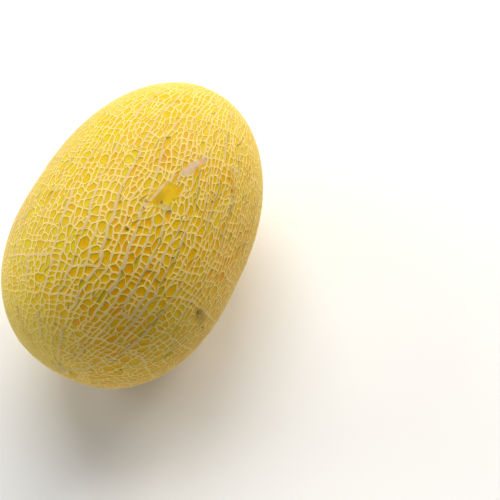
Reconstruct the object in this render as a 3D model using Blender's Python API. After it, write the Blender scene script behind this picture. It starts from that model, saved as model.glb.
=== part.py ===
"""A netted yellow melon, one closed body, lying on a small flat spot.

Metres, +Z up. The long axis runs along X, with the broad blossom end at -X and the stem end at +X.
The origin is on the ground under the middle of the fruit. The net grows on a unit ball whose two
ends on X become the fruit's ends, and the ball is then drawn out to the fruit's form.
"""
import heapq
import math
import random

import bmesh
import bpy
from mathutils import Matrix, Vector, noise

# Form of the fruit
LENGTH = 0.202
DIAMETER = 0.136
FULLNESS = 2.5          # power of the outline, where 2 is an ellipse
TAPER = -0.092          # how much more slender the stem end is
DRAW_IN = -0.108        # how much both ends are drawn in
OUTLINE_STEPS = 4000

# Net
ROPES = 32              # long ropes round the middle
ROWS = 14               # stretches of a rope from end to end
CELLS = 800             # cells of the net
CELL_LENGTH = 1.25      # length of a cell along the ropes for each unit of width
ROPE_WANDER = 0.07      # how far a rope strays, as an angle on the ball
SLANT = 0.45            # largest turn of a thread, in radians
OFF_CENTRE = 0.14       # how far from a cell's middle a thread may cross it
SHORTEST_EDGE = 0.22    # distance between two meeting points, as a part of the cell's width
LEAN = math.radians(9)  # turn of the net's axis in the body, with the blossom end down
TURN = math.radians(8)  # turn of the net's axis to the left, seen from above
FULL_TURN = 0.75        # place of the ball along X, out from its middle, up to which the turns are whole
ROPE_WIDTH = 0.0030     # foot width of the thickest ropes
THREAD_WIDTH = 0.0018   # foot width of the last threads
THICK_ROPES = 260       # cuts after which the threads are thinner by a factor e
FINER_ENDS = 1.1        # how much more the cells are cut towards the two ends
BROAD_CELLS = Vector((-0.049, -0.008, 0.062))  # middle of a patch with wide cells
BROAD_REACH = 0.034     # radius of that patch
BROAD_EASE = 0.45       # how much less its cells are cut
RELIEF = 0.0012         # height of the net above the skin
FOOT_REACH = 0.6        # how far a thread's side may reach to the middle of a cell, as a part of the way
CLOSEST = 0.0004        # corners nearer to each other than this are one
TRIES = 8               # how many threads are tried across a cell
SEED = 17

# Scars at the two ends, and the flat spot
STEM_SCAR = 0.0075      # radius of the scar's rim
BLOSSOM_SCAR = 0.0050
SCAR_DEPTH = 0.0014
SCAR_RINGS = ((0.78, 1.0), (0.45, 0.9), (0.32, 0.3))  # radius of each ring as a part of the rim's, depth
FLAT_DEPTH = 0.0008     # thickness of the cap that the flat spot takes off
CLEARANCE = 0.0003      # least height of the net and skin beside the flat spot

# Finish
SKIN_COLOUR = (0.66, 0.42, 0.05, 1.0)
SKIN_ROUGHNESS = 0.45
SHARP_ANGLE = math.radians(35)


def clear_scene():
    """Remove what the file already holds."""
    for thing in list(bpy.data.objects):
        bpy.data.objects.remove(thing, do_unlink=True)


def swell(c):
    """Half width of the outline before it is scaled to the diameter, for c from -1 to 1 at the ends."""
    return (1.0 - c * c) ** (1.0 / FULLNESS) * (1.0 + TAPER * c + DRAW_IN * c * c)


WIDEST = max(swell(step / 500.0) for step in range(-500, 501))


def radius_at(c):
    """Radius of the fruit at the outline's parameter c."""
    return swell(c) / WIDEST * DIAMETER / 2


def along_at(c):
    """Place along the fruit's axis at the outline's parameter c."""
    return math.copysign(abs(c) ** (2.0 / FULLNESS), c) * LENGTH / 2


def height_of(x):
    """The outline's parameter c of a place along the fruit's axis."""
    return math.copysign(min(1.0, 2.0 * abs(x) / LENGTH) ** (FULLNESS / 2.0), x)


def even_outline():
    """Places along the axis and radii of the outline, in even steps from blossom end to stem end."""
    course = []
    for step in range(OUTLINE_STEPS + 1):
        c = -math.cos(math.pi * step / OUTLINE_STEPS)
        course.append((along_at(c), radius_at(c)))
    way = [0.0]
    for here, there in zip(course, course[1:]):
        way.append(way[-1] + math.dist(here, there))
    outline = []
    index = 0
    for step in range(OUTLINE_STEPS + 1):
        goal = way[-1] * step / OUTLINE_STEPS
        while index < OUTLINE_STEPS - 1 and way[index + 1] < goal:
            index += 1
        share = (goal - way[index]) / (way[index + 1] - way[index])
        outline.append([a + (b - a) * share for a, b in zip(course[index], course[index + 1])])
    return outline


OUTLINE = even_outline()


def outline_at(angle):
    """Place along the axis and radius of the fruit at an angle on the ball from its blossom end."""
    at = angle / math.pi * OUTLINE_STEPS
    index = min(int(at), OUTLINE_STEPS - 1)
    share = at - index
    return [a + (b - a) * share for a, b in zip(OUTLINE[index], OUTLINE[index + 1])]


def fruit_point(direction):
    """The point of the fruit's outer form for a point of the unit ball."""
    across = math.hypot(direction.y, direction.z)
    along, radius = outline_at(math.atan2(across, -direction.x))
    stretch = radius / max(across, 1e-9)
    return Vector((along, direction.y * stretch, direction.z * stretch))


def halve(low, high, is_low):
    """The value between low and high up to which is_low holds."""
    for _ in range(40):
        middle = (low + high) / 2
        if is_low(middle):
            low = middle
        else:
            high = middle
    return low


def ring_angle(radius, end):
    """Angle on the ball from the blossom end to the ring near an end that has a radius on the fruit."""
    return halve(end, math.pi / 2, lambda angle: outline_at(angle)[1] < radius)


def rope_rows(draw):
    """First and last row of each rope: every fourth runs from scar to scar, the others start later."""
    rows = {}
    for rope in range(0, ROPES, 4):
        rows[rope] = (1, ROWS - 1)
    for rope in range(2, ROPES, 4):
        rows[rope] = (draw.choice((2, 2, 3)), ROWS - draw.choice((2, 2, 3)))
    for rope in range(1, ROPES, 2):
        beside = (rows[rope - 1], rows[(rope + 1) % ROPES])
        first = max(row[0] for row in beside) + draw.choice((1, 1, 2))
        last = min(row[1] for row in beside) - draw.choice((1, 1, 2))
        rows[rope] = (first, last)
    return rows


def stretches_of(rows):
    """Names of the grid's edges that the ropes, their starts and the scars' rims use."""
    kept = {("along", row, rope) for rope, (first, last) in rows.items() for row in range(first, last)}
    kept |= {("round", row, rope) for row in (1, ROWS - 1) for rope in range(ROPES)}
    for rope, ends in rows.items():
        reach = (0, 1, 2, 1)[rope % 4]
        for row in ends:
            kept |= {("round", row, (rope + step) % ROPES) for step in range(-reach, reach)}
    return kept


def stray(direction):
    """A wandering turn of a point on the ball, which fades out at the ends."""
    fade = max(0.0, 1.0 - direction.x ** 8)
    push = noise.noise_vector(direction * 2.3 + Vector((3.1, 7.7, 1.9)))
    push += 0.5 * noise.noise_vector(direction * 5.1 + Vector((9.3, 2.2, 6.4)))
    push -= direction * push.dot(direction)
    return (direction + push * ROPE_WANDER * fade).normalized()


def ball_of_ropes(draw):
    """The unit ball, divided by its long ropes only, with a scar's ring at each end."""
    net = bmesh.new()
    low = ring_angle(BLOSSOM_SCAR, 0.0)
    high = ring_angle(STEM_SCAR, math.pi)
    place = {}
    rings = []
    for row in range(1, ROWS):
        tip = low + (high - low) * (row - 1) / (ROWS - 2)
        rings.append([])
        for rope in range(ROPES):
            turn = rope / ROPES * math.tau
            spot = (-math.cos(tip), math.sin(tip) * math.cos(turn), math.sin(tip) * math.sin(turn))
            rings[-1].append(net.verts.new(spot))
            place[rings[-1][-1]] = (row, rope)
    scars = [net.faces.new(reversed(rings[0])), net.faces.new(rings[-1])]
    for ring, after in zip(rings, rings[1:]):
        for rope in range(ROPES):
            net.faces.new((ring[rope - 1], ring[rope], after[rope], after[rope - 1]))
    kept = stretches_of(rope_rows(draw))
    spare = []
    for edge in net.edges:
        (row, rope), (next_row, next_rope) = sorted(place[vert] for vert in edge.verts)
        if rope == next_rope:
            name = ("along", row, rope)
        else:
            name = ("round", row, rope if next_rope == rope + 1 else next_rope)
        if name not in kept:
            spare.append(edge)
    bmesh.ops.dissolve_edges(net, edges=spare, use_verts=False)
    for vert in net.verts:
        vert.co = stray(vert.co)
    return net, scars


def cell_frame(face):
    """Points of a cell on the fruit, its middle, its area and its directions out and along."""
    points = [fruit_point(vert.co) for vert in face.verts]
    middle = sum(points, Vector()) / len(points)
    swept = Vector()
    for here, there in zip(points, points[1:] + points[:1]):
        swept += (here - middle).cross(there - middle)
    out = swept.normalized()
    along = Vector((0.0, -middle.z, middle.y)).cross(out).normalized()
    return points, middle, swept.length / 2, out, along


def extent(points, direction):
    """Size of a set of points along a direction."""
    reach = [point.dot(direction) for point in points]
    return max(reach) - min(reach)


def crossings(points, place, normal, side):
    """The two edges of a cell that a line meets on either side of a place, and how far along them."""
    left, right = [], []
    for index, here in enumerate(points):
        there = points[(index + 1) % len(points)]
        before, after = (here - place).dot(normal), (there - place).dot(normal)
        if (before < 0.0) != (after < 0.0):
            part = before / (before - after)
            aside = (here.lerp(there, part) - place).dot(side)
            (left if aside < 0.0 else right).append((abs(aside), index, part))
    if left and right:
        return [min(left)[1:], min(right)[1:]]
    return None


def thread_line(face, draw):
    """Where a new thread across a cell's longer way starts and ends, as vertices or points of edges."""
    points, middle, area, out, along = cell_frame(face)
    across = out.cross(along)
    length, breadth = extent(points, along), extent(points, across)
    is_long = length > CELL_LENGTH * breadth * draw.uniform(0.75, 1.3)
    normal, reach = (along, length) if is_long else (across, breadth)
    normal = Matrix.Rotation(draw.uniform(-SLANT, SLANT), 3, out) @ normal
    place = middle + normal * reach * draw.uniform(-OFF_CENTRE, OFF_CENTRE)
    ends = crossings(points, place, normal, out.cross(normal))
    if ends is None:
        return None
    gap = SHORTEST_EDGE * math.sqrt(area)
    line = []
    for index, part in sorted(ends, reverse=True):
        after = (index + 1) % len(points)
        edge_length = (points[after] - points[index]).length
        near = index if part * edge_length < gap else after if (1.0 - part) * edge_length < gap else None
        if near is None:
            line.append((face.loops[index], part))
        elif len(face.verts[near].link_edges) > 3:
            return None
        else:
            line.append((face.loops[near], None))
    (first, part_a), (second, part_b) = line
    touching = {first, first.link_loop_next, first.link_loop_prev}
    if part_a is None and part_b is None and second in touching:
        return None
    return line


def cut_cell(face, draw, thickness, width):
    """Divide a cell by one thread and return the new cell, or nothing where no thread fits."""
    for _ in range(TRIES):
        line = thread_line(face, draw)
        if line:
            break
    else:
        return None
    verts = []
    for loop, part in line:
        vert = loop.vert
        if part is not None:
            old_width = loop.edge[thickness]
            fresh, vert = bmesh.utils.edge_split(loop.edge, loop.vert, part)
            fresh[thickness] = old_width
            vert.co = vert.co.normalized()
        verts.append(vert)
    if any(verts[1] in edge.verts for edge in verts[0].link_edges):
        return None
    other, loop = bmesh.utils.face_split(face, *verts)
    loop.edge[thickness] = width
    return other


def pull(middle):
    """How strongly the skin cracks at a place, so that its cells come out smaller."""
    ends = FINER_ENDS * (2.0 * middle.x / LENGTH) ** 4
    patch = BROAD_EASE * math.exp(-((middle - BROAD_CELLS).length / BROAD_REACH) ** 2)
    return (1.0 + ends) * (1.0 - patch)


def grow_net(net, scars, draw):
    """Cut the largest cell again and again, each time by a thinner thread."""
    thickness = net.edges.layers.float.new("thickness")
    for edge in net.edges:
        edge[thickness] = ROPE_WIDTH
    queue = []

    def wait(face):
        middle, area = cell_frame(face)[1:3]
        heapq.heappush(queue, (-area * pull(middle) * draw.uniform(0.7, 1.4), len(net.faces), face))

    for face in net.faces:
        if face not in scars:
            wait(face)
    cuts = 0
    while len(net.faces) < CELLS:
        face = heapq.heappop(queue)[2]
        width = THREAD_WIDTH + (ROPE_WIDTH - THREAD_WIDTH) * math.exp(-cuts / THICK_ROPES)
        other = cut_cell(face, draw, thickness, width * draw.uniform(0.85, 1.15))
        if other is not None:
            cuts += 1
            wait(face)
            wait(other)
    return thickness


def settle_net(net, scars):
    """Let the threads draw each other into rounder cells, away from the scars' rims."""
    rims = {vert for face in scars for vert in face.verts}
    free = [vert for vert in net.verts if vert not in rims]
    for _ in range(2):
        bmesh.ops.smooth_vert(net, verts=free, factor=0.5, use_axis_x=True, use_axis_y=True, use_axis_z=True)
        for vert in free:
            vert.co = vert.co.normalized()


def lean(direction):
    """Turn of the net's axis in the body, which fades out towards the ends."""
    fade = min(1.0, (1.0 - abs(direction.x)) / (1.0 - FULL_TURN))
    fade = fade * fade * (3.0 - 2.0 * fade)
    return Matrix.Rotation(TURN * fade, 3, "Z") @ Matrix.Rotation(-LEAN * fade, 3, "Y") @ direction


def draw_out(net):
    """Bring the net from the ball to the fruit's outer form."""
    for vert in net.verts:
        vert.co = fruit_point(lean(vert.co.normalized()))


def ground_point(net_point, centre, ground):
    """The point at a bearing from the flat spot's centre where the form passes the ground's level."""
    bearing = math.atan2(net_point.y, net_point.x - centre)
    step = Vector((math.cos(bearing), math.sin(bearing), 0.0))

    def is_below(distance):
        spot = Vector((centre, 0.0, 0.0)) + step * distance
        return spot.y * spot.y + ground * ground < radius_at(height_of(spot.x)) ** 2

    reach = halve(0.0, DIAMETER / 2, is_below)
    return Vector((centre, 0.0, ground)) + step * reach


def flatten_rest(net):
    """Turn the cells round the lowest point into one flat face, with its rim on the form."""
    ground = -(DIAMETER / 2 - FLAT_DEPTH)
    widest = max((step / 500.0 for step in range(-500, 501)), key=swell)
    centre = along_at(widest)
    under = []
    for face in net.faces:
        middle = face.calc_center_median()
        rim = ground_point(middle, centre, ground)
        inside = Vector((middle.x - centre, middle.y)).length < Vector((rim.x - centre, rim.y)).length
        if middle.z < 0.0 and inside:
            under.append(face)
    rest = bmesh.ops.dissolve_faces(net, faces=under, use_verts=False)["region"][0]
    for vert in rest.verts:
        vert.co = ground_point(vert.co, centre, ground)
    for vert in net.verts:
        if vert not in rest.verts and vert.co.z < ground + CLEARANCE:
            rim = ground_point(vert.co, centre, ground)
            vert.co = (rim.x, rim.y, ground + CLEARANCE)
    return rest


def inward(loop):
    """Direction from a cell's corner into the cell, as long as a step of 1 away from its two edges."""
    here = loop.vert.co
    out = loop.vert.normal
    after = (loop.link_loop_next.vert.co - here).normalized()
    before = (here - loop.link_loop_prev.vert.co).normalized()
    middle = (out.cross(after) + out.cross(before)).normalized()
    return middle / max(0.5, middle.dot(out.cross(after).normalized()))


def sink_cells(net, thickness, cells):
    """Sink the skin inside each cell, so that the net stands proud with sloping sides."""
    net.normal_update()
    floors = {}
    for face in cells:
        middle = face.calc_center_median()
        for loop in face.loops:
            vert = loop.vert
            half = (loop.edge[thickness] + loop.link_loop_prev.edge[thickness]) / 4
            step = inward(loop) * half
            room = (middle - vert.co).length * FOOT_REACH
            if step.length > room:
                step *= room / step.length
            floors[(face, vert)] = vert.co + step - vert.normal * RELIEF
    bmesh.ops.inset_individual(net, faces=cells, thickness=THREAD_WIDTH / 8, depth=0.0)
    sunk = []
    for face in cells:
        inner = set(face.verts)
        for vert in face.verts:
            outer = next(edge.other_vert(vert) for edge in vert.link_edges
                         if edge.other_vert(vert) not in inner)
            vert.co = floors[(face, outer)]
        sunk.extend(face.verts)
    bmesh.ops.remove_doubles(net, verts=sunk, dist=CLOSEST)


def press_scars(net, scars):
    """Press a shallow dish with a small knob into each end, inside the rim that the ropes run to."""
    for face in scars:
        end = math.copysign(1.0, face.calc_center_median().x)
        rim = sum((vert.co.yz.length for vert in face.verts)) / len(face.verts)
        for part, sunk in SCAR_RINGS:
            bmesh.ops.inset_individual(net, faces=[face], thickness=rim / 20, depth=0.0)
            along = end * (LENGTH / 2 - sunk * SCAR_DEPTH)
            for vert in face.verts:
                turn = math.atan2(vert.co.z, vert.co.y)
                vert.co = (along, rim * part * math.cos(turn), rim * part * math.sin(turn))


def stand_on_ground(net):
    """Put the origin on the ground under the middle of the fruit."""
    low = [min(vert.co[axis] for vert in net.verts) for axis in range(3)]
    high = [max(vert.co[axis] for vert in net.verts) for axis in range(3)]
    shift = Vector((-(low[0] + high[0]) / 2, -(low[1] + high[1]) / 2, -low[2]))
    bmesh.ops.translate(net, verts=net.verts, vec=shift)


def skin_finish():
    """The colour of the skin as a whole."""
    finish = bpy.data.materials.new("melon_skin")
    finish.use_nodes = True
    shader = finish.node_tree.nodes["Principled BSDF"]
    shader.inputs["Base Color"].default_value = SKIN_COLOUR
    shader.inputs["Roughness"].default_value = SKIN_ROUGHNESS
    shader.inputs["Metallic"].default_value = 0.0
    finish.diffuse_color = SKIN_COLOUR
    return finish


def main():
    clear_scene()
    draw = random.Random(SEED)
    noise.seed_set(SEED)
    net, scars = ball_of_ropes(draw)
    thickness = grow_net(net, scars, draw)
    settle_net(net, scars)
    draw_out(net)
    bmesh.ops.remove_doubles(net, verts=net.verts, dist=CLOSEST * 2)
    rest = flatten_rest(net)
    cells = [face for face in net.faces if face not in scars and face is not rest]
    sink_cells(net, thickness, cells)
    press_scars(net, scars)
    bmesh.ops.triangulate(net, faces=[face for face in net.faces if face is not rest])
    stand_on_ground(net)
    mesh = bpy.data.meshes.new("melon")
    net.to_mesh(mesh)
    net.free()
    mesh.shade_smooth()
    mesh.set_sharp_from_angle(angle=SHARP_ANGLE)
    mesh.materials.append(skin_finish())
    melon = bpy.data.objects.new("melon", mesh)
    bpy.context.scene.collection.objects.link(melon)


main()
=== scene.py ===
"""The looks of a netted yellow melon: its skin and the raised corky net that covers it.

Metres, +Z up, in the CAD model's frame. The net grows by the CAD model's rule, on a unit ball whose
two ends on X become the fruit's ends. It grows on to the real number of cells, its threads bend, and each
cell gets a slope down to a skin that swells a little between the threads. The marks on the skin are set
one by one.
"""
import heapq
import math
import random

import bmesh
import bpy
from mathutils import Matrix, Vector, noise


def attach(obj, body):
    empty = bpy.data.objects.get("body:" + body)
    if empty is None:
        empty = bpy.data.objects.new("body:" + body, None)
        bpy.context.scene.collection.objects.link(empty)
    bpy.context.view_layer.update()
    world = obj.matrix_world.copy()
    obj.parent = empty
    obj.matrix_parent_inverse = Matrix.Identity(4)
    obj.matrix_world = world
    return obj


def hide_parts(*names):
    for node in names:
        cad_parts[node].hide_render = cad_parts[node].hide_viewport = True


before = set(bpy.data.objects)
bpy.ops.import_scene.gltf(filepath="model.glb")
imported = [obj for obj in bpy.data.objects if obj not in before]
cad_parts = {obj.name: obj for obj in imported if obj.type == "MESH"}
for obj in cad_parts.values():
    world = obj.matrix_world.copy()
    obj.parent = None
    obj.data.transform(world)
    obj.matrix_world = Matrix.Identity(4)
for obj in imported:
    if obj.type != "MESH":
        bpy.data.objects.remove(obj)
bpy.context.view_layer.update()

# Form of the fruit
LENGTH = 0.202
DIAMETER = 0.136
FULLNESS = 2.5          # power of the outline, where 2 is an ellipse
TAPER = -0.092          # how much more slender the stem end is
DRAW_IN = -0.108        # how much both ends are drawn in
FLAT_DEPTH = 0.0008     # thickness of the cap that the flat spot takes off
GROUND = FLAT_DEPTH - DIAMETER / 2  # height of the ground, seen from the fruit's axis
CLEARANCE = 0.0003      # height of the skin over the ground where the net is pressed flat
OUTLINE_STEPS = 4000    # stretches of the outline from end to end
OUTLINE_PROBE = 0.002   # step of its parameter to either side of a place whose slope is taken

# Long lines of the net, with the CAD model's ropes
ROPES = 32              # long ropes round the middle
LINES = 2 * ROPES       # the ropes and, between each two of them, a thinner line
ROWS = 14               # stretches of a rope from end to end
ROPE_WANDER = 0.07      # how far a rope strays, as an angle on the ball
# Share, frequency and place in the noise of each wave by which it strays
ROPE_WAVES = ((1.0, 2.3, Vector((3.1, 7.7, 1.9))), (0.5, 5.1, Vector((9.3, 2.2, 6.4))))
LINE_DRIFT = 0.6        # how far a thinner line drifts to a rope beside it, as a part of the way
DRIFT_GAIN = 2.2        # gain of the noise that it drifts by
DRIFT_STEPS = (3.7, 0.42)  # steps in that noise from line to line and from row to row
LINE_STRENGTHS = (0.45, 1.0)  # range of the lines' thickness, as a part of the thickest
ROPE_WIDTH = 0.0034     # foot width of the thickest ropes
LINE_WIDTH = 0.0018     # foot width of the thickest lines between the ropes
THREAD_WIDTH = 0.0011   # foot width of the last threads along the ropes
LEAN = math.radians(9)  # turn of the net's axis in the body, with the blossom end down
TURN = math.radians(8)  # turn of the net's axis to the left, seen from above
TURNS_FROM = 1.2        # angle on the ball from an end, from which on the turns are whole
STEM_SCAR = 0.0075      # radius of the scar's rim
BLOSSOM_SCAR = 0.0050
SEED = 17

# Growth of the net to its real fineness
CELLS = 5800
FINER_ENDS = 0.3        # how much more the cells are cut towards the two ends
BROAD_CELLS = Vector((-0.049, -0.008, 0.062))  # middle of a patch with wide cells
BROAD_REACH = 0.034     # radius of that patch
BROAD_EASE = 0.25       # how much less its cells are cut
FINE_CELLS = Vector((0.022, -0.050, 0.030))  # middle of a side with finer cells
FINE_REACH = 0.050      # radius of that side
FINE_GAIN = 0.25        # how much more its cells are cut
CELL_LENGTH = 1.35      # ratio of length along the ropes to width, from which on a cell gets a rung
LADDER = 0.9            # how much larger that ratio is on the side with finer cells
SLENDER = 1.6           # from this ratio of length to width on, a cell is cut across its longest way
SLANT = 0.25            # largest turn of a thread, in radians
OFF_CENTRE = 0.14       # how far from a cell's middle a thread may cross it
SHORTEST_EDGE = 0.22    # distance between two meeting points, as a part of the cell's width
MOST_MEETING = 3        # most threads at a point at which another one may end
TRIES = 10              # tries to lay a thread across a cell
RUNG_LUCK = (0.75, 1.3)  # range of the factor on the ratio from which on a cell gets a rung
SIZE_LUCK = (0.75, 1.25)  # range of the factor on a cell's size while it waits for a cut
WIDTH_LUCK = (0.85, 1.15)  # range of the factor on a new thread's width
RUNG_SHARE = 0.6        # width of a rung, as a part of a thread's
SETBACK = 0.8           # part of its size for which a cell waits again after a cut that found no place
THICK_THREADS = 500     # cuts after which the threads are thinner by a factor e
SETTLE_ROUNDS = 2       # rounds in which the lines draw each other straight

# Course, thickness and height of the threads
SPAN = 0.0017           # longest stretch of a thread between two of its vertices
THREAD_WANDER = ((0.017, 9.0), (0.010, 25.0))  # how far a thread strays on the ball, and how often
STOUT_REACH = 0.080     # radius round the broad cells in which the ropes are thickest
STOUT_LEAST = 0.4       # share of that thickness that they keep far from it
PATCHINESS = (1.3, 42.0)  # how much the ropes' thickness comes and goes, and how often in a metre
THINNEST_PATCH = 0.1    # least part of their thickness that this leaves
UNEVENNESS = ((0.6, 110.0), (0.5, 300.0))  # how much and how often every thread is a little uneven
# Parts of a thin thread's width that are fixed, follow the ropes' thickness and are uneven
THIN_SHARES = (0.45, 0.2, 0.45)
FOOT_SHARES = (1.0, 0.85, 0.7, 0.55, 0.4, 0.25)  # parts of a thread's width that are tried in a cell
ROUNDING = 0.3          # how much the corners of a cell are rounded
LEAST_OPENING = 0.6     # limit for how far the foot of a sharp corner moves inwards
LEAST_COURSE = 0.15     # shortest foot of a side, as a part of the side
SKIN_DEPTH = 0.0006     # the skin lies this far inside the fruit's outer form
LOW_CREST = 0.00010     # height of a thread of no width above the skin
CREST_SLOPE = 0.11      # height that a thread gains for each unit of its width
SWELL = 0.03            # how far the skin swells inside a cell, for each unit of its width
BARE_CREST = 0.1        # height of the net on a bare place, as a part of its height elsewhere
BARE_WIDTH = 0.6        # width of its threads there, as a part of their width elsewhere
BARE_VALUE = -0.8       # the net's own value there, where it is 1 on a crest and 0 at a crest's foot
BARE_RIM = (0.45, 1.15)  # distance from a bare place, in half widths, at which the net starts and is whole
RAGGED_RIM = (0.3, 300.0)  # how much and how often that distance is uneven

# Scars at the two ends
SCAR_DEPTH = 0.0014
SCAR_UNEVENNESS = 0.35  # share of the depth for each kind of unevenness
SCAR_ROUGHNESS = (3.2, 4.0)  # frequency of its broad unevenness, round the scar and inwards
SCAR_CRACKS = (9.0, 1.5)  # the same for its cracks
SCAR_BEND = 0.08        # how far the rings leave a circle, as a part of their radius
# Radius of each ring inside a scar as a part of the rim's, and its depth as a part of the scar's
SCAR_RINGS = ((0.92, 0.3), (0.84, 0.8), (0.72, 1.0), (0.6, 1.0), (0.5, 0.85), (0.42, 0.45), (0.34, 0.3),
              (0.24, 0.35), (0.14, 0.6), (0.06, 0.9))

# Finish of the skin and the cork
CLOUDS = 22.0           # waves per metre of the broad clouds in the skin
PATCHES = 120.0         # the same for its small patches
MOTTLE = 260.0          # the same for the mottle of the cork
GRAIN = 900.0           # the same for the grain of the surface
BRUSH = 320.0           # the same for the uneven edges of the marks
DEEP_GOLD_SIDE = (0.06, -0.03)  # places on Y between which the skin turns deeper gold and orange, towards -Y
STEM_SIDE = (0.0, 0.07)  # places on X between which it turns back towards lemon, towards the stem end
RAWEST = -0.95          # ripeness before anything adds to it
TO_GOLD = (0.0, 0.45)   # ripeness in which lemon turns to gold
TO_ORANGE = (0.35, 0.8)  # ripeness in which gold turns to orange
TO_OLIVE_AND_SHADE = (-0.55, 0.05)  # place in the relief in which the skin turns to olive and painted shade along the threads' foot
OLIVE_AND_SHADE_SHARE = 0.65      # share of olive and painted shade at the foot of a thread
TO_CORK = (-0.25, 0.25)  # place in the relief in which the skin turns to cork
TO_BEIGE = (0.0, 0.7)   # stoutness in which cream turns to beige
TO_FAINT = (-0.30, -0.05)  # stoutness up to which the cork of a thin thread is faint
FAINTEST = 0.75         # least share of cork on a thread
SKIN_ROUGHNESS = 0.4
CORK_ROUGHNESS = 0.8
SKIN_GRAIN = 0.25       # depth of the grain on the skin, as a part of the bump
CORK_GRAIN = 0.8        # the same on the cork
BUMP_DEPTH = 0.0004     # height of the bump's whole relief
GLOSS = 0.12            # specular level of the rind

# Colours of the net and the skin
CREAM = (0.90, 0.65, 0.21)
BEIGE = (0.74, 0.54, 0.23)
GOLD = (0.76, 0.44, 0.001)
LEMON = (0.73, 0.57, 0.001)
ORANGE = (0.79, 0.31, 0.001)
# Olive of the cells' rims: partly the skin's own colour, partly painted shade where the threads meet the
# skin
OLIVE_AND_SHADE = (0.42, 0.32, 0.005)

# Colours of the marks
BLACK = (0.015, 0.010, 0.004)
DARK_BROWN = (0.10, 0.06, 0.01)
BROWN = (0.33, 0.18, 0.03)
MOSS = (0.20, 0.17, 0.03)
SHADE = (0.36, 0.27, 0.01)
SMUDGE = (0.52, 0.45, 0.20)
AMBER = (0.62, 0.30, 0.01)
PLAIN_GOLD = (0.76, 0.55, 0.02)
UNRIPE = (0.50, 0.42, 0.07)
STRAW = (0.80, 0.62, 0.14)
LILAC = (0.64, 0.53, 0.38)
TAN = (0.74, 0.56, 0.28)
PALE = (0.90, 0.80, 0.60)
SCAR_CORK = (0.44, 0.30, 0.13)

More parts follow.
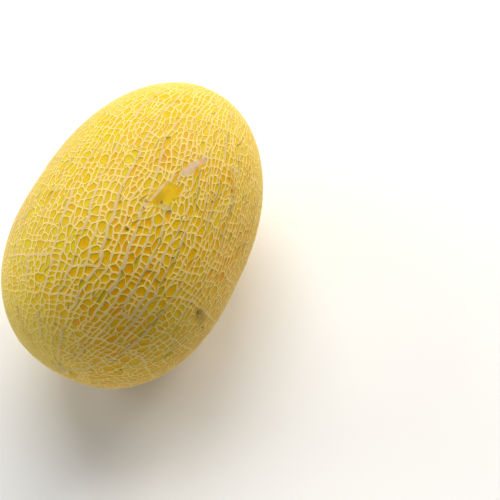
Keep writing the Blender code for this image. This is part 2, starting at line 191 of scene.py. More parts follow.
# Marks on the skin. Each runs from a start to an end on the fruit and has a half width, an unevenness
# and a lift of the surface, all in millimetres, then a colour and the share of that colour
MARKS = {
    "green_end": ((-98.0, 7.5, 89.5), (-91.5, 30.0, 72.0), 22.0, 10.0, 0.0, UNRIPE, 0.35),
    "ground_spot": ((-20.0, 0.0, 0.0), (-2.0, 0.0, 0.0), 30.0, 14.0, 0.0, STRAW, 0.55),
    "smooth_skin": ((-9.9, -22.3, 131.4), (-2.0, -26.0, 129.8), 5.5, 3.0, 0.0, PLAIN_GOLD, 0.5),
    "smooth_shade": ((-11.5, -22.5, 131.2), (-7.0, -22.5, 131.2), 2.6, 3.0, 0.0, SHADE, 0.45),
    "smooth_smudge": ((-12.6, -26.6, 129.7), (-11.6, -29.5, 128.5), 2.4, 3.0, 0.0, SMUDGE, 0.6),
    "upper_border": ((9.0, -23.6, 130.3), (-1.7, -20.9, 131.6), 0.7, 0.8, 0.1, TAN, 0.85),
    "middle_border": ((-1.7, -20.9, 131.6), (-10.6, -19.3, 132.4), 0.9, 0.8, 0.2, TAN, 0.95),
    "lower_border": ((-10.6, -19.3, 132.4), (-17.8, -18.3, 132.7), 0.8, 0.8, 0.1, TAN, 0.85),
    "right_border": ((8.3, -30.4, 127.3), (0.6, -33.5, 126.1), 0.6, 0.8, 0.1, TAN, 0.6),
    "russet_smear": ((-8.2, -22.0, 131.4), (-12.0, -22.6, 131.1), 0.9, 1.2, 0.0, AMBER, 0.45),
    "dark_dot": ((-10.0, -24.4, 130.6), (-11.0, -24.6, 130.5), 0.7, 0.3, -0.1, DARK_BROWN, 0.9),
    "grey_dot": ((-5.2, -29.2, 128.4), (-5.0, -29.3, 128.4), 0.9, 0.6, 0.0, SHADE, 0.6),
    "amber_dot": ((-2.8, -24.4, 130.4), (-2.8, -25.0, 130.3), 1.4, 1.2, 0.0, AMBER, 0.35),
    "brown_dot": ((-14.6, -16.9, 133.1), (-14.2, -17.1, 133.0), 0.9, 0.5, 0.0, BROWN, 0.7),
    "cork_streak": ((12.9, -27.7, 128.3), (21.7, -29.6, 126.3), 2.2, 3.0, 0.2, LILAC, 0.8),
    "streak_tip": ((21.7, -29.6, 126.3), (29.0, -32.6, 123.3), 1.6, 4.0, 0.1, LILAC, 0.6),
    "rough_strip": ((32.4, -46.2, 111.9), (22.3, -52.4, 107.4), 2.6, 5.0, 0.0, AMBER, 0.5),
    "lower_strip": ((20.3, -53.1, 106.8), (12.2, -55.1, 105.5), 1.8, 5.0, 0.0, SMUDGE, 0.5),
    "pale_fleck": ((36.4, -47.5, 109.1), (34.0, -47.2, 110.2), 0.8, 0.7, 0.1, LILAC, 0.9),
    "upper_fleck": ((29.2, -47.0, 111.8), (28.4, -47.4, 111.8), 0.7, 1.2, 0.0, DARK_BROWN, 0.6),
    "middle_pale_fleck": ((27.8, -51.0, 107.7), (26.5, -51.0, 108.2), 0.8, 0.7, 0.1, LILAC, 0.9),
    "strip_fleck": ((23.8, -50.8, 108.9), (23.2, -51.2, 108.7), 0.8, 1.0, 0.0, DARK_BROWN, 0.8),
    "lower_pale_fleck": ((24.0, -53.5, 105.3), (23.3, -53.7, 105.2), 0.8, 0.7, 0.1, LILAC, 0.8),
    "lower_fleck": ((21.4, -52.7, 107.2), (21.0, -52.8, 107.1), 0.6, 1.0, 0.0, DARK_BROWN, 0.6),
    "lowest_fleck": ((15.6, -54.0, 106.5), (15.0, -54.2, 106.4), 0.7, 1.2, 0.0, MOSS, 0.6),
    "rope_dot": ((-34.1, -15.5, 132.3), (-33.8, -15.8, 132.3), 1.0, 0.3, 0.0, DARK_BROWN, 0.95),
    "hole_rim": ((-46.2, -61.4, 88.3), (-45.8, -63.6, 80.9), 3.4, 4.0, 0.0, BROWN, 0.5),
    "hole": ((-45.8, -61.2, 89.0), (-46.6, -61.6, 87.6), 1.1, 0.8, -1.2, BLACK, 1.0),
    "small_hole": ((-47.8, -64.2, 74.3), (-47.8, -64.1, 75.0), 0.8, 0.5, -0.3, DARK_BROWN, 0.9),
    "tiny_hole": ((-45.7, -57.8, 97.0), (-45.7, -57.7, 97.4), 0.7, 0.4, 0.0, DARK_BROWN, 0.9),
    "slit": ((-80.0, -2.2, 116.2), (-81.5, -2.3, 115.0), 0.6, 0.6, 0.0, DARK_BROWN, 0.8),
    "green_dot": ((-71.2, -13.5, 120.9), (-71.8, -13.8, 120.6), 1.0, 0.6, 0.0, MOSS, 0.6),
    "far_green_dot": ((-89.9, 2.1, 106.1), (-90.3, 2.0, 105.5), 1.0, 0.6, 0.0, MOSS, 0.6),
    "low_dot": ((-91.5, -34.6, 79.6), (-91.6, -35.2, 79.2), 1.0, 0.4, -0.2, DARK_BROWN, 0.9),
    "stem_cork": ((99.0, 0.0, 67.2), (101.5, 0.0, 67.2), 6.5, 4.0, 0.0, SCAR_CORK, 0.85),
    "stem_hollow": ((99.0, 0.0, 67.2), (101.5, 0.0, 67.2), 1.6, 2.0, 0.0, DARK_BROWN, 0.8),
    "blossom_cork": ((-99.0, 0.0, 67.2), (-101.5, 0.0, 67.2), 4.4, 3.0, 0.0, TAN, 0.7),
    "pale_scratch": ((-89.6, -32.1, 89.9), (-93.2, -28.0, 86.6), 0.5, 0.5, 0.0, PALE, 0.8),
}
MARK_RIM = (1.6, 0.4)   # distance from a mark, in half widths, at which its lift starts and is whole
MARK_BLUR = (1.7, 0.3)  # the same for its colour
# Places without a net: start, end and half width in millimetres
BARE = (((-9.9, -22.3, 131.4), (-2.0, -26.0, 129.8), 6.0), ((12.9, -27.7, 128.3), (25.0, -31.5, 124.6), 2.8))

# Chart of the skin, and the studio
CHART_WIDTH = 0.97      # part of the chart's width that one turn round the axis takes
CHART_MARGIN = 0.01     # margin above and below
FLOOR_RADIUS = 1.5
CAMERA_PLACE = (-0.2504, -0.1833, 0.6046)
CAMERA_TARGET = (0.0191, -0.0639, 0.0543)


def half_width(c):
    """Half width of the outline before it is scaled to the diameter, for c from -1 to 1 at the ends."""
    return (1.0 - c * c) ** (1.0 / FULLNESS) * (1.0 + TAPER * c + DRAW_IN * c * c)


WIDEST = max(half_width(step / 500.0) for step in range(-500, 501))


def radius_at(c):
    """Radius of the fruit at the outline's parameter c."""
    return half_width(c) / WIDEST * DIAMETER / 2


def along_at(c):
    """Place along the fruit's axis at the outline's parameter c."""
    return math.copysign(abs(c) ** (2.0 / FULLNESS), c) * LENGTH / 2


def parameter_at(x):
    """The outline's parameter c of a place along the fruit's axis."""
    return math.copysign(min(1.0, 2.0 * abs(x) / LENGTH) ** (FULLNESS / 2.0), x)


def even_outline():
    """Places along the axis and radii of the outline, in even steps from blossom end to stem end."""
    course = []
    for step in range(OUTLINE_STEPS + 1):
        c = -math.cos(math.pi * step / OUTLINE_STEPS)
        course.append((along_at(c), radius_at(c)))
    way = [0.0]
    for here, there in zip(course, course[1:]):
        way.append(way[-1] + math.dist(here, there))
    outline = []
    index = 0
    for step in range(OUTLINE_STEPS + 1):
        goal = way[-1] * step / OUTLINE_STEPS
        while index < OUTLINE_STEPS - 1 and way[index + 1] < goal:
            index += 1
        share = (goal - way[index]) / (way[index + 1] - way[index])
        outline.append([a + (b - a) * share for a, b in zip(course[index], course[index + 1])])
    return outline


OUTLINE = even_outline()


def outline_at(angle):
    """Place along the axis and radius of the fruit at an angle on the ball from its blossom end."""
    at = angle / math.pi * OUTLINE_STEPS
    index = min(int(at), OUTLINE_STEPS - 1)
    share = at - index
    return [a + (b - a) * share for a, b in zip(OUTLINE[index], OUTLINE[index + 1])]


def fruit_point(direction):
    """The point of the fruit's outer form for a point of the unit ball."""
    across = math.hypot(direction.y, direction.z)
    along, radius = outline_at(math.atan2(across, -direction.x))
    stretch = radius / max(across, 1e-9)
    return Vector((along, direction.y * stretch, direction.z * stretch))


def outward(point):
    """Direction straight out of the fruit's form at one of its points."""
    c = parameter_at(point.x)
    low, high = max(-1.0, c - OUTLINE_PROBE), min(1.0, c + OUTLINE_PROBE)
    run, rise = along_at(high) - along_at(low), radius_at(high) - radius_at(low)
    across = point.yz.normalized()
    return Vector((-rise, across.x * run, across.y * run)).normalized()


def halve(low, high, is_low):
    """The value between low and high up to which is_low holds."""
    for _ in range(40):
        middle = (low + high) / 2
        if is_low(middle):
            low = middle
        else:
            high = middle
    return low


def ring_angle(radius, end):
    """Angle on the ball from the blossom end to the ring near an end that has a radius on the fruit."""
    return halve(end, math.pi / 2, lambda angle: outline_at(angle)[1] < radius)


def line_rows(draw):
    """First and last row of each line: every eighth runs from scar to scar, the others start later."""
    rows = {}
    for line in range(0, LINES, 8):
        rows[line] = (1, ROWS - 1)
    for line in range(4, LINES, 8):
        rows[line] = (draw.choice((2, 2, 3)), ROWS - draw.choice((2, 2, 3)))
    for gap in (2, 1):
        for line in range(gap, LINES, 2 * gap):
            beside = (rows[line - gap], rows[(line + gap) % LINES])
            first = max(row[0] for row in beside) + draw.choice((1, 1, 2) if gap == 2 else (0, 1, 1))
            last = min(row[1] for row in beside) - draw.choice((1, 1, 2) if gap == 2 else (0, 1, 1))
            rows[line] = (first, last)
    return rows


def stretches_of(rows):
    """Names of the grid's edges that the lines, their starts and the scars' rims use."""
    kept = {("along", row, line) for line, (first, last) in rows.items() for row in range(first, last)}
    kept |= {("round", row, line) for row in (1, ROWS - 1) for line in range(LINES)}
    for line, ends in rows.items():
        # The first and the last rung of a line reach the older lines beside it
        reach = (0, 1, 2, 1, 4, 1, 2, 1)[line % 8]
        for row in ends:
            kept |= {("round", row, (line + step) % LINES) for step in range(-reach, reach)}
    return kept


def stray(direction):
    """A wandering turn of a point on the ball, which fades out at the ends."""
    fade = max(0.0, 1.0 - direction.x ** 8)
    push = Vector()
    for share, scale, shift in ROPE_WAVES:
        push += share * noise.noise_vector(direction * scale + shift)
    push -= direction * push.dot(direction)
    return (direction + push * ROPE_WANDER * fade).normalized()


def ball_of_lines(draw):
    """The unit ball, divided by its long lines only, with a scar's ring at each end.

    Its corners and cells are laid in a fixed order, because the random draws follow that order.
    """
    net = bmesh.new()
    thickness = net.edges.layers.float.new("thickness")
    low = ring_angle(BLOSSOM_SCAR, 0.0)
    high = ring_angle(STEM_SCAR, math.pi)
    place = {}
    rings = []
    for row in range(1, ROWS):
        tip = low + (high - low) * (row - 1) / (ROWS - 2)
        rings.append([])
        for line in range(LINES):
            wave = noise.noise(Vector((line * DRIFT_STEPS[0], row * DRIFT_STEPS[1], 5.0)))
            drift = max(-1.0, min(1.0, DRIFT_GAIN * wave))
            turn = (line + LINE_DRIFT * drift * (line % 2)) / LINES * math.tau
            spot = (-math.cos(tip), math.sin(tip) * math.cos(turn), math.sin(tip) * math.sin(turn))
            rings[-1].append(net.verts.new(spot))
            place[rings[-1][-1]] = (row, line)
    scars = [net.faces.new(reversed(rings[0])), net.faces.new(rings[-1])]
    for ring, after in zip(rings, rings[1:]):
        for line in range(LINES):
            net.faces.new((ring[line - 1], ring[line], after[line], after[line - 1]))
    kept = stretches_of(line_rows(draw))
    strength = [draw.uniform(*LINE_STRENGTHS) for _ in range(LINES)]
    spare = []
    for edge in net.edges:
        (row, line), (_, next_line) = sorted(place[vert] for vert in edge.verts)
        if line == next_line:
            name = ("along", row, line)
            thickest = LINE_WIDTH if line % 2 else ROPE_WIDTH
            edge[thickness] = THREAD_WIDTH + (thickest - THREAD_WIDTH) * strength[line]
        else:
            name = ("round", row, line if next_line == line + 1 else next_line)
            edge[thickness] = LINE_WIDTH
        if name not in kept:
            spare.append(edge)
    bmesh.ops.dissolve_edges(net, edges=spare, use_verts=False)
    for vert in net.verts:
        vert.co = stray(vert.co)
    return net, scars


def cell_frame(face):
    """Points of a cell on the fruit, its middle, its area and its directions out and along."""
    points = [fruit_point(vert.co) for vert in face.verts]
    middle = sum(points, Vector()) / len(points)
    swept = Vector()
    for here, there in zip(points, points[1:] + points[:1]):
        swept += (here - middle).cross(there - middle)
    out = swept.normalized()
    along = Vector((0.0, -middle.z, middle.y)).cross(out).normalized()
    return points, middle, swept.length / 2, out, along


def extent(points, direction):
    """Size of a set of points along a direction."""
    reach = [point.dot(direction) for point in points]
    return max(reach) - min(reach)


def long_way(points, middle, along, across):
    """Direction in which a cell is longest, and how many times longer it is than broad."""
    spread = [((point - middle).dot(along), (point - middle).dot(across)) for point in points]
    both = sum(a * b for a, b in spread)
    apart = (sum(a * a for a, _ in spread) - sum(b * b for _, b in spread)) / 2
    total = sum(a * a + b * b for a, b in spread) / 2
    turn = math.atan2(both, apart) / 2
    reach = math.hypot(both, apart)
    way = along * math.cos(turn) + across * math.sin(turn)
    return way, math.sqrt((total + reach) / max(total - reach, 0.01 * total))


def crossings(points, place, normal, side):
    """The two edges of a cell that a line meets on either side of a place, and how far along them."""
    left, right = [], []
    for index, here in enumerate(points):
        there = points[(index + 1) % len(points)]
        before, after = (here - place).dot(normal), (there - place).dot(normal)
        if (before < 0.0) != (after < 0.0):
            part = before / (before - after)
            aside = (here.lerp(there, part) - place).dot(side)
            (left if aside < 0.0 else right).append((abs(aside), index, part))
    if left and right:
        return [min(left)[1:], min(right)[1:]]
    return None


def fine_share(middle):
    """Nearness of a cell to the side with finer cells, from 0 to 1."""
    return math.exp(-((middle - FINE_CELLS).length / FINE_REACH) ** 2)


def thread_line(face, draw, snap):
    """Where a new thread across a cell's longer way starts and ends, as vertices or points of edges."""
    points, middle, area, out, along = cell_frame(face)
    across = out.cross(along)
    ratio = extent(points, along) / extent(points, across)
    longer = 1.0 + LADDER * fine_share(middle)
    is_rung = ratio > CELL_LENGTH * longer * draw.uniform(*RUNG_LUCK)
    normal = along if is_rung else across
    way, slenderness = long_way(points, middle, along, across)
    if slenderness > SLENDER * longer:
        normal = way
        is_rung = abs(way.dot(along)) > abs(way.dot(across))
    reach = extent(points, normal)
    normal = Matrix.Rotation(draw.uniform(-SLANT, SLANT), 3, out) @ normal
    place = middle + normal * reach * draw.uniform(-OFF_CENTRE, OFF_CENTRE)
    ends = crossings(points, place, normal, out.cross(normal))
    if ends is None:
        return None
    gap = snap * SHORTEST_EDGE * math.sqrt(area)
    line = []
    for index, part in sorted(ends, reverse=True):
        after = (index + 1) % len(points)
        edge_length = (points[after] - points[index]).length
        near = index if part * edge_length < gap else after if (1.0 - part) * edge_length < gap else None
        if near is None:
            line.append((face.loops[index], part))
        elif len(face.verts[near].link_edges) > MOST_MEETING:
            return None
        else:
            line.append((face.loops[near], None))
    (first, part_a), (second, part_b) = line
    touching = {first, first.link_loop_next, first.link_loop_prev}
    if part_a is None and part_b is None and second in touching:
        return None
    return line, is_rung


def cut_cell(face, draw, thickness, width):
    """Divide a cell by one thread and return the new cell, or nothing where no thread fits."""
    for attempt in range(TRIES):
        found = thread_line(face, draw, 1.0 - attempt / TRIES)
        if found:
            break
    else:
        return None
    line, is_rung = found
    verts = []
    for loop, part in line:
        vert = loop.vert
        if part is not None:
            old_width = loop.edge[thickness]
            fresh, vert = bmesh.utils.edge_split(loop.edge, loop.vert, part)
            fresh[thickness] = old_width
            vert.co = vert.co.normalized()
        verts.append(vert)
    if any(verts[1] in edge.verts for edge in verts[0].link_edges):
        return None
    other, loop = bmesh.utils.face_split(face, *verts)
    loop.edge[thickness] = width * (RUNG_SHARE if is_rung else 1.0)
    return other


def pull(middle):
    """How strongly the skin cracks at a place, so that its cells come out smaller."""
    ends = FINER_ENDS * (2.0 * middle.x / LENGTH) ** 4
    fine = FINE_GAIN * fine_share(middle)
    patch = BROAD_EASE * math.exp(-((middle - BROAD_CELLS).length / BROAD_REACH) ** 2)
    return (1.0 + ends) * (1.0 + fine) * (1.0 - patch)


def fullness_of(point, thickness):
    """Width of a thread at a place: ropes are thick round the broad cells and thin towards the ends."""
    near = math.exp(-((point - BROAD_CELLS).length / STOUT_REACH) ** 2)
    patchy = max(THINNEST_PATCH, 1.0 + PATCHINESS[0] * noise.noise(point * PATCHINESS[1]))
    share = (STOUT_LEAST + (1.0 - STOUT_LEAST) * near) * patchy
    uneven = 1.0 + sum(amount * noise.noise(point * scale) for amount, scale in UNEVENNESS)
    fixed, following, rough = THIN_SHARES
    thin = min(thickness, THREAD_WIDTH) * (fixed + following * share + rough * uneven)
    return thin + max(0.0, thickness - THREAD_WIDTH) * share * uneven


def distance_to(point, start, end):
    """Distance of a point from a straight stretch."""
    way = end - start
    share = max(0.0, min(1.0, (point - start).dot(way) / way.length_squared))
    return (point - start - way * share).length


def smooth_step(value, start, end):
    """A smooth climb from 0 to 1, while a value goes from start to end."""
    share = max(0.0, min(1.0, (value - start) / (end - start)))
    return share * share * (3.0 - 2.0 * share)


def netted_share(point):
    """How much of the net is there at a place of the fruit, which is nothing on a bare place."""
    here = (point - Vector((0.0, 0.0, GROUND))) * 1000.0
    ragged = RAGGED_RIM[0] * noise.noise(point * RAGGED_RIM[1])
    return min(smooth_step(distance_to(here, Vector(start), Vector(end)) / reach + ragged, *BARE_RIM)
               for start, end, reach in BARE)


def settle_net(net, held):
    """Let the lines draw each other straight, the thick ones most."""
    thickness = net.edges.layers.float["thickness"]
    free = [vert for vert in net.verts if vert not in held]
    for _ in range(SETTLE_ROUNDS):
        goals = []
        for vert in free:
            goal, weight = Vector(), 0.0
            for edge in vert.link_edges:
                strength = edge[thickness] ** 2
                goal += edge.other_vert(vert).co * strength
                weight += strength
            goals.append(vert.co.lerp(goal / weight, 0.5).normalized())
        for vert, goal in zip(free, goals):
            vert.co = goal


def grow_net(net, scars, draw):
    """Cut the largest cell again and again, each time by a thinner thread."""
    thickness = net.edges.layers.float["thickness"]
    queue = []
    setbacks = {}

    def wait(face):
        """Put a cell into the queue, by its size, its place and some luck."""
        middle, area = cell_frame(face)[1:3]
        size = area * pull(middle) * draw.uniform(*SIZE_LUCK) * SETBACK ** setbacks.get(face, 0)
        heapq.heappush(queue, (-size, len(net.faces), face))

    for face in net.faces:
        if face not in scars:
            wait(face)
    cuts = 0
    while len(net.faces) < CELLS:
        face = heapq.heappop(queue)[2]
        width = THREAD_WIDTH + (LINE_WIDTH - THREAD_WIDTH) * math.exp(-cuts / THICK_THREADS)
        other = cut_cell(face, draw, thickness, width * draw.uniform(*WIDTH_LUCK))
        if other is None:
            setbacks[face] = setbacks.get(face, 0) + 1
        else:
            cuts += 1
            wait(other)
        wait(face)


def lean(direction):
    """Turn of the net's axis in the body, which fades out towards the ends."""
    fade = smooth_step(math.acos(min(1.0, abs(direction.x))), 0.0, TURNS_FROM)
    return Matrix.Rotation(TURN * fade, 3, "Z") @ Matrix.Rotation(-LEAN * fade, 3, "Y") @ direction


def bend_threads(net, scars):
    """Give the threads vertices along their way, and let them bend and stray."""
    by_parts = {}
    for edge in net.edges:
        start, end = (fruit_point(vert.co) for vert in edge.verts)
        by_parts.setdefault(round((end - start).length / SPAN), []).append(edge)
    for parts, edges in by_parts.items():
        if parts > 1:
            bmesh.ops.bisect_edges(net, edges=edges, cuts=parts - 1)
    rims = {vert for face in scars for vert in face.verts}
    settle_net(net, rims)
    for vert in net.verts:
        if vert not in rims:
            push = sum((noise.noise_vector(vert.co * scale) * far for far, scale in THREAD_WANDER), Vector())
            vert.co = (vert.co + push).normalized()


def own_layers(net):
    """Layers for the vertices' own values: place in the net's relief, stoutness, and a cell's tint.

    The place in the relief is 1 on a crest, 0 at its foot and -1 amid a cell.
    """
    return [net.verts.layers.float.new(name) for name in ("net_height", "stoutness", "cell_tint")]


def inward(loop, out):
    """Direction from a cell's corner into the cell, as long as a step of 1 away from its two edges."""
    here = loop.vert.co
    after = (loop.link_loop_next.vert.co - here).normalized()
    before = (here - loop.link_loop_prev.vert.co).normalized()
    middle = (out.cross(after) + out.cross(before)).normalized()
    return middle / max(LEAST_OPENING, middle.dot(out.cross(after).normalized()))


def is_open(ring, out):
    """Whether every side of a ring of points faces its middle, so that no triangle of a fan folds."""
    middle = sum(ring, Vector()) / len(ring)
    sides = zip(ring, ring[1:] + ring[:1])
    return all((here - middle).cross(there - middle).dot(out) > 0.0 for here, there in sides)


def keeps_course(ring, corners):
    """Whether every side of a ring runs on in the direction of the cell's own side."""
    sides = zip(ring, ring[1:] + ring[:1], corners, corners[1:] + corners[:1])
    return all((b - a).dot(d - c) > LEAST_COURSE * (d - c).length_squared for a, b, c, d in sides)


def foot_ring(face, out_of, halves):
    """Where a cell's net meets its skin: inside its edges, never crossed, and with rounded corners."""
    out = out_of[face.verts[0]]
    corners = [vert.co for vert in face.verts]
    steps = [inward(loop, out_of[loop.vert]) * half for loop, half in zip(face.loops, halves)]
    is_bent = not is_open(corners, out)
    for share in FOOT_SHARES:
        ring = [corner + step * share for corner, step in zip(corners, steps)]
        beside = [(before + after) / 2 for before, after in zip(ring[-1:] + ring[:-1], ring[1:] + ring[:1])]
        ring = [here.lerp(middle, ROUNDING * share) for here, middle in zip(ring, beside)]
        if (is_bent or is_open(ring, out)) and keeps_course(ring, corners):
            break
    return ring


def shape_cells(net, cells, draw):
    """Raise the crests, slope the net's sides down to the skin, and swell the skin in each cell."""
    thickness = net.edges.layers.float["thickness"]
    net_height, stoutness, cell_tint = own_layers(net)
    out_of = {vert: outward(vert.co) for vert in net.verts}
    rise_of = {}
    for vert in net.verts:
        width = fullness_of(vert.co, max(edge[thickness] for edge in vert.link_edges))
        there = netted_share(vert.co)
        rise_of[vert] = (LOW_CREST + CREST_SLOPE * width) * (BARE_CREST + (1.0 - BARE_CREST) * there)
        vert[net_height] = BARE_VALUE + (1.0 - BARE_VALUE) * there
        vert[stoutness] = (width - THREAD_WIDTH) / (ROPE_WIDTH - THREAD_WIDTH)
    feet = {}
    for face in cells:
        halves = []
        for loop in face.loops:
            pair = (loop.edge[thickness] + loop.link_loop_prev.edge[thickness]) / 2
            there = netted_share(loop.vert.co)
            part = BARE_WIDTH + (1.0 - BARE_WIDTH) * there
            halves.append(fullness_of(loop.vert.co, pair) / 2 * part)
        ring = foot_ring(face, out_of, halves)
        for vert, foot in zip(face.verts, ring):
            feet[(face, vert)] = foot - out_of[vert] * SKIN_DEPTH
    for vert in net.verts:
        vert.co -= out_of[vert] * (SKIN_DEPTH - rise_of[vert])
    # The inset only makes the cells' inner corners, which get their places after it
    bmesh.ops.inset_individual(net, faces=cells, thickness=THREAD_WIDTH / 8, depth=0.0)
    for face in cells:
        inner = set(face.verts)
        tint = draw.random()
        for vert in face.verts:
            crest = next(edge.other_vert(vert) for edge in vert.link_edges
                         if edge.other_vert(vert) not in inner)
            vert.co = feet[(face, crest)]
            there = (crest[net_height] - BARE_VALUE) / (1.0 - BARE_VALUE)
            vert[net_height] = BARE_VALUE * (1.0 - there)
            vert[stoutness] = crest[stoutness]
            vert[cell_tint] = tint
    width_at = {}
    swelling = []
    for face in cells:
        if is_open([vert.co for vert in face.verts], outward(face.verts[0].co)):
            swelling.append(face)
            for vert in face.verts:
                width_at[vert] = math.sqrt(face.calc_area())
    for centre in bmesh.ops.poke(net, faces=swelling)["verts"]:
        foot = centre.link_edges[0].other_vert(centre)
        centre.co += outward(centre.co) * SWELL * width_at[foot]
        centre[net_height] = -1.0
        centre[cell_tint] = foot[cell_tint]


def scar_noise(around, inwards, waves):
    """Noise in a scar, in a direction round its middle and at a signed part of its radius."""
    return noise.noise(Vector((*(around * waves[0]), waves[1] * inwards)))


def press_scars(net, scars):
    """Press a rough dish with a small cracked knob into each end, inside the rim that the ropes run to."""
    for face in scars:
        end = math.copysign(1.0, face.calc_center_median().x)
        rim = sum((vert.co.yz.length for vert in face.verts)) / len(face.verts)
        for part, sunk in SCAR_RINGS:
            # The inset only makes the ring's corners, which get their places after it
            bmesh.ops.inset_individual(net, faces=[face], thickness=rim / 40, depth=0.0)
            for vert in face.verts:
                turn = math.atan2(vert.co.z, vert.co.y)
                around = Vector((math.cos(turn), math.sin(turn)))
                rough = scar_noise(around, part * end, SCAR_ROUGHNESS)
                uneven = SCAR_UNEVENNESS * rough
                uneven += SCAR_UNEVENNESS * scar_noise(around, part * end, SCAR_CRACKS)
                depth = SCAR_DEPTH * (sunk + (1.0 - abs(2.0 * part - 1.0)) * uneven)
                vert.co = (end * (LENGTH / 2 - depth), *(around * rim * part * (1.0 + SCAR_BEND * rough)))
        bmesh.ops.poke(net, faces=[face])


def stand(net):
    """Flatten what would pass into the ground, and lift the fruit onto it."""
    net_height = net.verts.layers.float["net_height"]
    for vert in net.verts:
        lowest = GROUND + CLEARANCE * (1.0 - max(0.0, vert[net_height]))
        vert.co.z = max(vert.co.z, lowest)
    bmesh.ops.translate(net, verts=net.verts, vec=(0.0, 0.0, -GROUND))


def raise_marks(net):
    """Lift or sink the surface at the marks."""
    for start, end, width, _, lift, _, _ in MARKS.values():
        if lift:
            for vert in net.verts:
                away = distance_to(vert.co * 1000.0, Vector(start), Vector(end)) / width
                vert.co += vert.normal * lift / 1000.0 * smooth_step(away, *MARK_RIM)


def lay_out_skin(net):
    """A UV map with the bearing round the fruit's axis across and the angle from its end upwards."""
    chart = net.loops.layers.uv.new("OFBake")
    height = 1.0 - 2.0 * CHART_MARGIN
    for face in net.faces:
        middle = face.calc_center_median()
        bearing = math.atan2(middle.z + GROUND, middle.y)
        for loop in face.loops:
            here = loop.vert.co
            y, z = here.y, here.z + GROUND
            across = math.hypot(y, z)
            turn = math.atan2(z, y) if across > 1e-6 else bearing
            turn = bearing + math.remainder(turn - bearing, math.tau)
            polar = math.atan2(across, here.x)
            loop[chart].uv = (0.5 + turn / math.tau * CHART_WIDTH, CHART_MARGIN + height * polar / math.pi)


def netted_rind():
    """The whole fruit as one closed mesh."""
    draw = random.Random(SEED)
    noise.seed_set(SEED)
    net, scars = ball_of_lines(draw)
    grow_net(net, scars, draw)
    settle_net(net, {vert for face in scars for vert in face.verts})
    bend_threads(net, scars)
    for vert in net.verts:
        vert.co = fruit_point(lean(vert.co.normalized()))
    cells = [face for face in net.faces if face not in scars]
    shape_cells(net, cells, draw)
    press_scars(net, scars)
    bmesh.ops.triangulate(net, faces=net.faces)
    stand(net)
    net.normal_update()
    raise_marks(net)
    lay_out_skin(net)
    mesh = bpy.data.meshes.new("netted_rind")
    net.to_mesh(mesh)
    net.free()
    mesh.shade_smooth()
    rind = bpy.data.objects.new("netted_rind", mesh)
    bpy.context.scene.collection.objects.link(rind)
    return rind


def add_node(tree, kind, sockets=(), **settings):
    """Put a node into a tree, with its settings and with a value or a link on each named socket."""
    node = tree.nodes.new(kind)
    for name, value in settings.items():
        setattr(node, name, value)
    for name, value in dict(sockets).items():
        if isinstance(value, bpy.types.NodeSocket):
            tree.links.new(value, node.inputs[name])
        else:
            node.inputs[name].default_value = value
    return node


def maths(tree, operation, first, second=0.0, third=0.0):
    """The value of one step of arithmetic."""
    return add_node(tree, "ShaderNodeMath", {0: first, 1: second, 2: third}, operation=operation).outputs[0]


def vector_maths(tree, operation, first, second):
    """The outputs of one step of arithmetic with vectors."""
    return add_node(tree, "ShaderNodeVectorMath", {0: first, 1: second}, operation=operation).outputs


def scaled(tree, vector, scale):
    """A vector made longer or shorter."""
    return add_node(tree, "ShaderNodeVectorMath", {0: vector, "Scale": scale}, operation="SCALE").outputs[0]


def climb(tree, value, start, end, low=0.0, high=1.0):
    """A smooth climb from low to high, while a value goes from start to end."""
    sockets = {"Value": value, "From Min": start, "From Max": end, "To Min": low, "To Max": high}
    return add_node(tree, "ShaderNodeMapRange", sockets, interpolation_type="SMOOTHSTEP").outputs["Result"]


def tinted(tree, share, low, high):
    """One colour that turns into another, each of them a colour of its own or a link."""
    low, high = (one if isinstance(one, bpy.types.NodeSocket) else (*one, 1.0) for one in (low, high))
    return add_node(tree, "ShaderNodeMix", {0: share, 6: low, 7: high}, data_type="RGBA").outputs[2]


def cloudy(tree, where, scale, detail=2.0):
    """Noise from 0 to 1 at a scale in waves per metre."""
    sockets = {"Vector": where, "Scale": scale, "Detail": detail}
    return add_node(tree, "ShaderNodeTexNoise", sockets).outputs["Fac"]


def own_value(tree, name):
    """One of the values that the mesh holds at its vertices."""
    return add_node(tree, "ShaderNodeAttribute", attribute_name=name).outputs["Fac"]


def stroke_group():
    """Node group with a mask that is 1 near a straight stretch on the fruit, with uneven edges."""
    group = bpy.data.node_groups.new("stroke", "ShaderNodeTree")
    for name in ("Place", "Start", "End"):
        group.interface.new_socket(name, in_out="INPUT", socket_type="NodeSocketVector")
    for name in ("Width", "Unevenness"):
        group.interface.new_socket(name, in_out="INPUT", socket_type="NodeSocketFloat")
    group.interface.new_socket("Mask", in_out="OUTPUT", socket_type="NodeSocketFloat")
    given = add_node(group, "NodeGroupInput").outputs
    noisy = add_node(group, "ShaderNodeTexNoise", {"Vector": given["Place"], "Scale": BRUSH, "Detail": 3.0})
    shift = vector_maths(group, "SUBTRACT", noisy.outputs["Color"], (0.5, 0.5, 0.5))[0]
    here = vector_maths(group, "ADD", given["Place"], scaled(group, shift, given["Unevenness"]))[0]
    from_start = vector_maths(group, "SUBTRACT", here, given["Start"])[0]
    way = vector_maths(group, "SUBTRACT", given["End"], given["Start"])[0]
    reached = vector_maths(group, "DOT_PRODUCT", from_start, way)["Value"]
    whole = vector_maths(group, "DOT_PRODUCT", way, way)["Value"]
    share = maths(group, "DIVIDE", reached, whole)
    share.node.use_clamp = True
    away = vector_maths(group, "DISTANCE", from_start, scaled(group, way, share))["Value"]
    mask = climb(group, maths(group, "DIVIDE", away, given["Width"]), *MARK_BLUR)
    add_node(group, "NodeGroupOutput", {"Mask": mask})
    return group


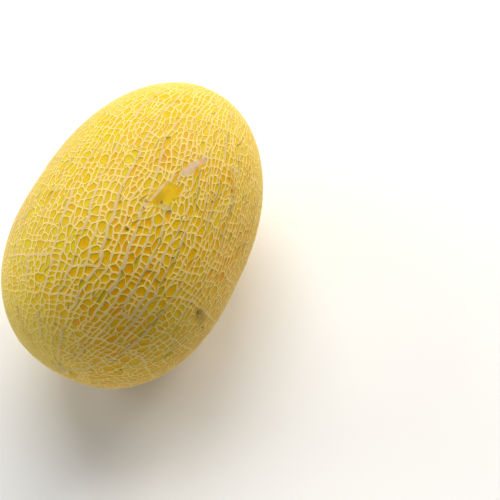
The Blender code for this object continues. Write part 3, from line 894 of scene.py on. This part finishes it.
def new_finish(name):
    """A new material, with its tree, its shader and the place on the piece."""
    finish = bpy.data.materials.new(name)
    finish.use_nodes = True
    tree = finish.node_tree
    where = add_node(tree, "ShaderNodeTexCoord").outputs["Object"]
    return finish, tree, tree.nodes["Principled BSDF"], where


def skin_colour(tree, where, net_height):
    """Yellow skin that ripens to gold and orange, with olive rims along the net that are partly painted
    shade at the threads' foot.
    """
    parts = add_node(tree, "ShaderNodeSeparateXYZ", {0: where}).outputs
    ripeness = RAWEST
    for value, share in (
            (own_value(tree, "cell_tint"), 0.3),
            (cloudy(tree, where, CLOUDS), 0.9),
            (climb(tree, parts["Y"], *DEEP_GOLD_SIDE), 0.35),
            (cloudy(tree, where, PATCHES), 0.5),
            (climb(tree, parts["X"], *STEM_SIDE), -0.25),
            (net_height, -0.45)):
        ripeness = maths(tree, "MULTIPLY_ADD", value, share, ripeness)
    skin = tinted(tree, climb(tree, ripeness, *TO_GOLD), LEMON, GOLD)
    skin = tinted(tree, climb(tree, ripeness, *TO_ORANGE), skin, ORANGE)
    # The olive at the foot of the threads is partly the skin's colour and partly painted shade
    return tinted(tree, climb(tree, net_height, *TO_OLIVE_AND_SHADE, high=OLIVE_AND_SHADE_SHARE), skin, OLIVE_AND_SHADE)


def cork_colour(tree, mottle, stoutness):
    """Cream cork on thin threads and beige cork on stout ropes."""
    stout = maths(tree, "MULTIPLY_ADD", mottle, 0.6, maths(tree, "ADD", stoutness, -0.35))
    return tinted(tree, climb(tree, stout, *TO_BEIGE), CREAM, BEIGE)


def marked(tree, where, colour):
    """A colour with all the marks on it."""
    stroke = stroke_group()
    for start, end, width, unevenness, _, mark_colour, share in MARKS.values():
        sockets = {"Place": where, "Start": Vector(start) / 1000.0, "End": Vector(end) / 1000.0,
                   "Width": width / 1000.0, "Unevenness": unevenness / 1000.0}
        mark = add_node(tree, "ShaderNodeGroup", sockets, node_tree=stroke)
        mask = maths(tree, "MULTIPLY", mark.outputs["Mask"], share)
        colour = tinted(tree, mask, colour, mark_colour)
    return colour


def rind_finish():
    """Golden skin with olive rims in the cells, partly painted shade, and a dry cream cork on the net."""
    finish, tree, shader, where = new_finish("netted_rind")
    net_height = own_value(tree, "net_height")
    stoutness = own_value(tree, "stoutness")
    mottle = cloudy(tree, where, MOTTLE, 3.0)
    grain = cloudy(tree, where, GRAIN, 3.0)
    edge = maths(tree, "MULTIPLY_ADD", mottle, 0.5, -0.05)
    corky = climb(tree, maths(tree, "SUBTRACT", net_height, edge), *TO_CORK)
    faint = climb(tree, stoutness, *TO_FAINT, low=FAINTEST)
    skin = skin_colour(tree, where, net_height)
    cork = cork_colour(tree, mottle, stoutness)
    colour = tinted(tree, maths(tree, "MULTIPLY", corky, faint), skin, cork)
    tree.links.new(marked(tree, where, colour), shader.inputs["Base Color"])
    roughness = climb(tree, corky, 0.0, 1.0, SKIN_ROUGHNESS, CORK_ROUGHNESS)
    tree.links.new(roughness, shader.inputs["Roughness"])
    flank = maths(tree, "MAXIMUM", net_height, 0.0)
    crown = maths(tree, "MULTIPLY", flank, maths(tree, "SUBTRACT", 1.0, flank))
    grained = climb(tree, corky, 0.0, 1.0, SKIN_GRAIN, CORK_GRAIN)
    relief = maths(tree, "MULTIPLY_ADD", grain, grained, crown)
    bump = add_node(tree, "ShaderNodeBump", {"Height": relief, "Strength": 0.5, "Distance": BUMP_DEPTH})
    tree.links.new(bump.outputs["Normal"], shader.inputs["Normal"])
    shader.inputs["Specular IOR Level"].default_value = GLOSS
    return finish


def floor_finish():
    """A plain pale floor."""
    finish, tree, shader, where = new_finish("pale_floor")
    colour = tinted(tree, cloudy(tree, where, 3.0), (0.90, 0.90, 0.89), (0.93, 0.93, 0.92))
    tree.links.new(colour, shader.inputs["Base Color"])
    shader.inputs["Roughness"].default_value = 1.0
    shader.inputs["Specular IOR Level"].default_value = 0.0
    return finish


def pale_floor():
    """A round floor, much wider than any view."""
    disc = bmesh.new()
    bmesh.ops.create_circle(disc, cap_ends=True, segments=96, radius=FLOOR_RADIUS)
    mesh = bpy.data.meshes.new("pale_floor")
    disc.to_mesh(mesh)
    disc.free()
    mesh.materials.append(floor_finish())
    floor = bpy.data.objects.new("pale_floor", mesh)
    bpy.context.scene.collection.objects.link(floor)


def aim(thing, place, target):
    """Put a camera or a light somewhere and turn it to a point."""
    thing.location = place
    thing.rotation_euler = (Vector(target) - Vector(place)).to_track_quat("-Z", "Y").to_euler()


def soft_light(name, place, width, power, colour=(1.0, 1.0, 1.0)):
    """A square soft light that looks at the fruit."""
    data = bpy.data.lights.new(name, "AREA")
    data.shape = "SQUARE"
    data.size = width
    data.energy = power
    data.color = colour
    light = bpy.data.objects.new(name, data)
    light.visible_camera = False
    bpy.context.scene.collection.objects.link(light)
    aim(light, place, (0.0, 0.0, DIAMETER / 2))


def studio():
    """Soft light from above and behind, a pale surrounding, and the camera."""
    soft_light("back_softbox", (5.50, 3.50, 7.58), width=7.5, power=830.0)
    soft_light("left_softbox", (-0.15, 1.65, 0.75), width=1.0, power=11.0)
    soft_light("right_softbox", (1.60, -0.45, 0.90), width=0.8, power=24.0, colour=(1.0, 0.92, 0.8))
    soft_light("front_softbox", (-1.60, 0.45, 0.45), width=1.0, power=4.5)
    world = bpy.data.worlds.new("pale_room")
    bpy.context.scene.world = world
    world.use_nodes = True
    tree = world.node_tree
    seen = add_node(tree, "ShaderNodeLightPath").outputs["Is Camera Ray"]
    tree.nodes["Background"].inputs["Color"].default_value = (1.0, 1.0, 1.0, 1.0)
    tree.links.new(climb(tree, seen, 0.0, 1.0, 0.17, 0.95), tree.nodes["Background"].inputs["Strength"])
    data = bpy.data.cameras.new("camera")
    data.lens = 72.9
    data.sensor_width = 36.0
    camera = bpy.data.objects.new("camera", data)
    bpy.context.scene.collection.objects.link(camera)
    aim(camera, CAMERA_PLACE, CAMERA_TARGET)
    bpy.context.scene.camera = camera
    bpy.context.scene.view_settings.view_transform = "Standard"


rind = netted_rind()
rind.data.materials.append(rind_finish())
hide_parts("melon")
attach(rind, "root")
pale_floor()
studio()
